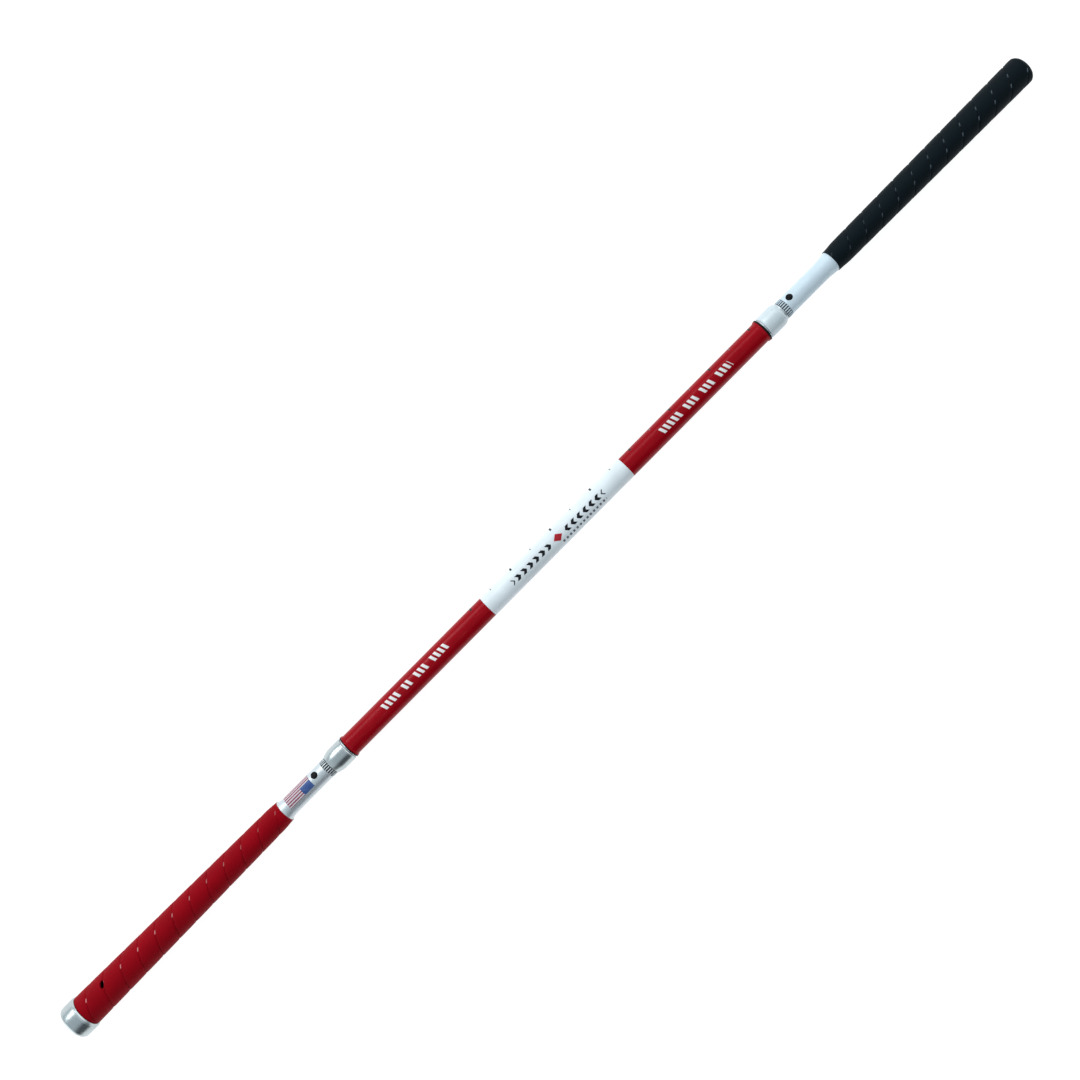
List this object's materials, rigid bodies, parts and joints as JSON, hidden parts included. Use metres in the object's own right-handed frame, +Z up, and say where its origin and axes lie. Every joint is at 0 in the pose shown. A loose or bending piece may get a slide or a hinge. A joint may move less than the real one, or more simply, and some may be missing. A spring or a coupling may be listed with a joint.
{
  "type": "golf swing trainer stick",
  "caption": "Long double-ended swing trainer: sleeved centre tube with a ruler, screwed collars, snap-button handles, a weighted red grip with a screw-in end cap and a black grip.",
  "frame": {"origin": "on the stick's long axis, halfway between the outer face of the metal end cap and the butt of the black grip", "axes": "+X along the stick from the weighted red handle to the black handle, +Z up with the stick lying flat, and both snap buttons facing 28 degrees from +Z towards +Y"},
  "size_m": [1.2192, 0.034, 0.034],
  "materials": {
    "bare_aluminium": "drawn, lightly brushed",
    "painted_tube": "pale satin clear coat",
    "polished_aluminium": "turned and polished",
    "black_anodised": "black anodised",
    "steel": "turned",
    "spring_steel": "bright spring steel",
    "brass": "turned",
    "red_sleeve": "gloss shrink sleeve",
    "white_sleeve": "gloss shrink sleeve",
    "red_rubber": "matt spiral-seamed grip",
    "black_rubber": "matt spiral-seamed grip",
    "black_plastic": "moulded",
    "white_nylon": "moulded",
    "printed_film": "printed film"
  },
  "bodies": {
    "stick": {"centre_tube": "bare_aluminium", "red_sleeve_heavy": "red_sleeve", "label_sleeve": "white_sleeve", "red_sleeve_light": "red_sleeve", "seal_ring_heavy": "black_plastic", "spigot_heavy": "bare_aluminium", "ferrule_heavy": "black_anodised", "o_ring_heavy": "black_rubber", "button_spring_heavy": "spring_steel", "handle_tube_heavy": "bare_aluminium", "striped_sticker": "printed_film", "red_grip": "red_rubber", "cap_insert": "steel", "grub_screw": "black_anodised", "ballast_liner": "white_nylon", "ballast_stop": "bare_aluminium", "ballast_pad": "black_rubber", "ballast_slug_1": "steel", "ballast_slug_2": "steel", "ballast_slug_3": "steel", "cap_spring": "spring_steel", "seal_ring_light": "black_plastic", "spigot_light": "bare_aluminium", "ferrule_light": "black_anodised", "o_ring_light": "black_rubber", "button_spring_light": "spring_steel", "handle_tube_light": "painted_tube", "black_grip": "black_rubber", "butt_plug": "white_nylon"},
    "heavy_thrust_ring": {"thrust_ring_heavy": "bare_aluminium"},
    "heavy_collar": {"collar_heavy": "polished_aluminium"},
    "light_thrust_ring": {"thrust_ring_light": "bare_aluminium"},
    "light_collar": {"collar_light": "polished_aluminium"},
    "heavy_button": {"snap_button_heavy": "black_plastic"},
    "light_button": {"snap_button_light": "black_plastic"},
    "cap_pad": {"cap_thrust_pad": "brass"},
    "end_cap": {"end_cap": "polished_aluminium"}
  },
  "joints": [
    {"name": "heavy_collar_travel", "type": "slide", "parent": "stick", "child": "heavy_thrust_ring", "axis": [1, 0, 0], "range_m": [0, 0.001]},
    {"name": "heavy_collar_turn", "type": "hinge", "parent": "heavy_thrust_ring", "child": "heavy_collar", "pos_m": [-0.27, 0, 0], "axis": [1, 0, 0], "range_deg": [0, 360]},
    {"name": "light_collar_travel", "type": "slide", "parent": "stick", "child": "light_thrust_ring", "axis": [-1, 0, 0], "range_m": [0, 0.001]},
    {"name": "light_collar_turn", "type": "hinge", "parent": "light_thrust_ring", "child": "light_collar", "pos_m": [0.288, 0, 0], "axis": [-1, 0, 0], "range_deg": [0, 360]},
    {"name": "heavy_button_press", "type": "slide", "parent": "stick", "child": "heavy_button", "axis": [0, -0.4695, -0.8829], "range_m": [0, 0.0024], "stiffness_N_per_m": 900, "springref_m": -0.004, "deforming": ["button_spring_heavy"]},
    {"name": "light_button_press", "type": "slide", "parent": "stick", "child": "light_button", "axis": [0, -0.4695, -0.8829], "range_m": [0, 0.0024], "stiffness_N_per_m": 900, "springref_m": -0.004, "deforming": ["button_spring_light"]},
    {"name": "end_cap_travel", "type": "slide", "parent": "stick", "child": "cap_pad", "axis": [-1, 0, 0], "range_m": [0, 0.0045], "deforming": ["cap_spring"]},
    {"name": "end_cap_unscrew", "type": "hinge", "parent": "cap_pad", "child": "end_cap", "pos_m": [-0.6, 0, 0], "axis": [-1, 0, 0], "range_deg": [0, 1080]}
  ],
  "couplings": [
    {"joint": "heavy_collar_travel", "follows": "heavy_collar_turn", "m_per_rad": 0.000159},
    {"joint": "light_collar_travel", "follows": "light_collar_turn", "m_per_rad": 0.000159},
    {"joint": "end_cap_travel", "follows": "end_cap_unscrew", "m_per_rad": 0.0002387}
  ]
}
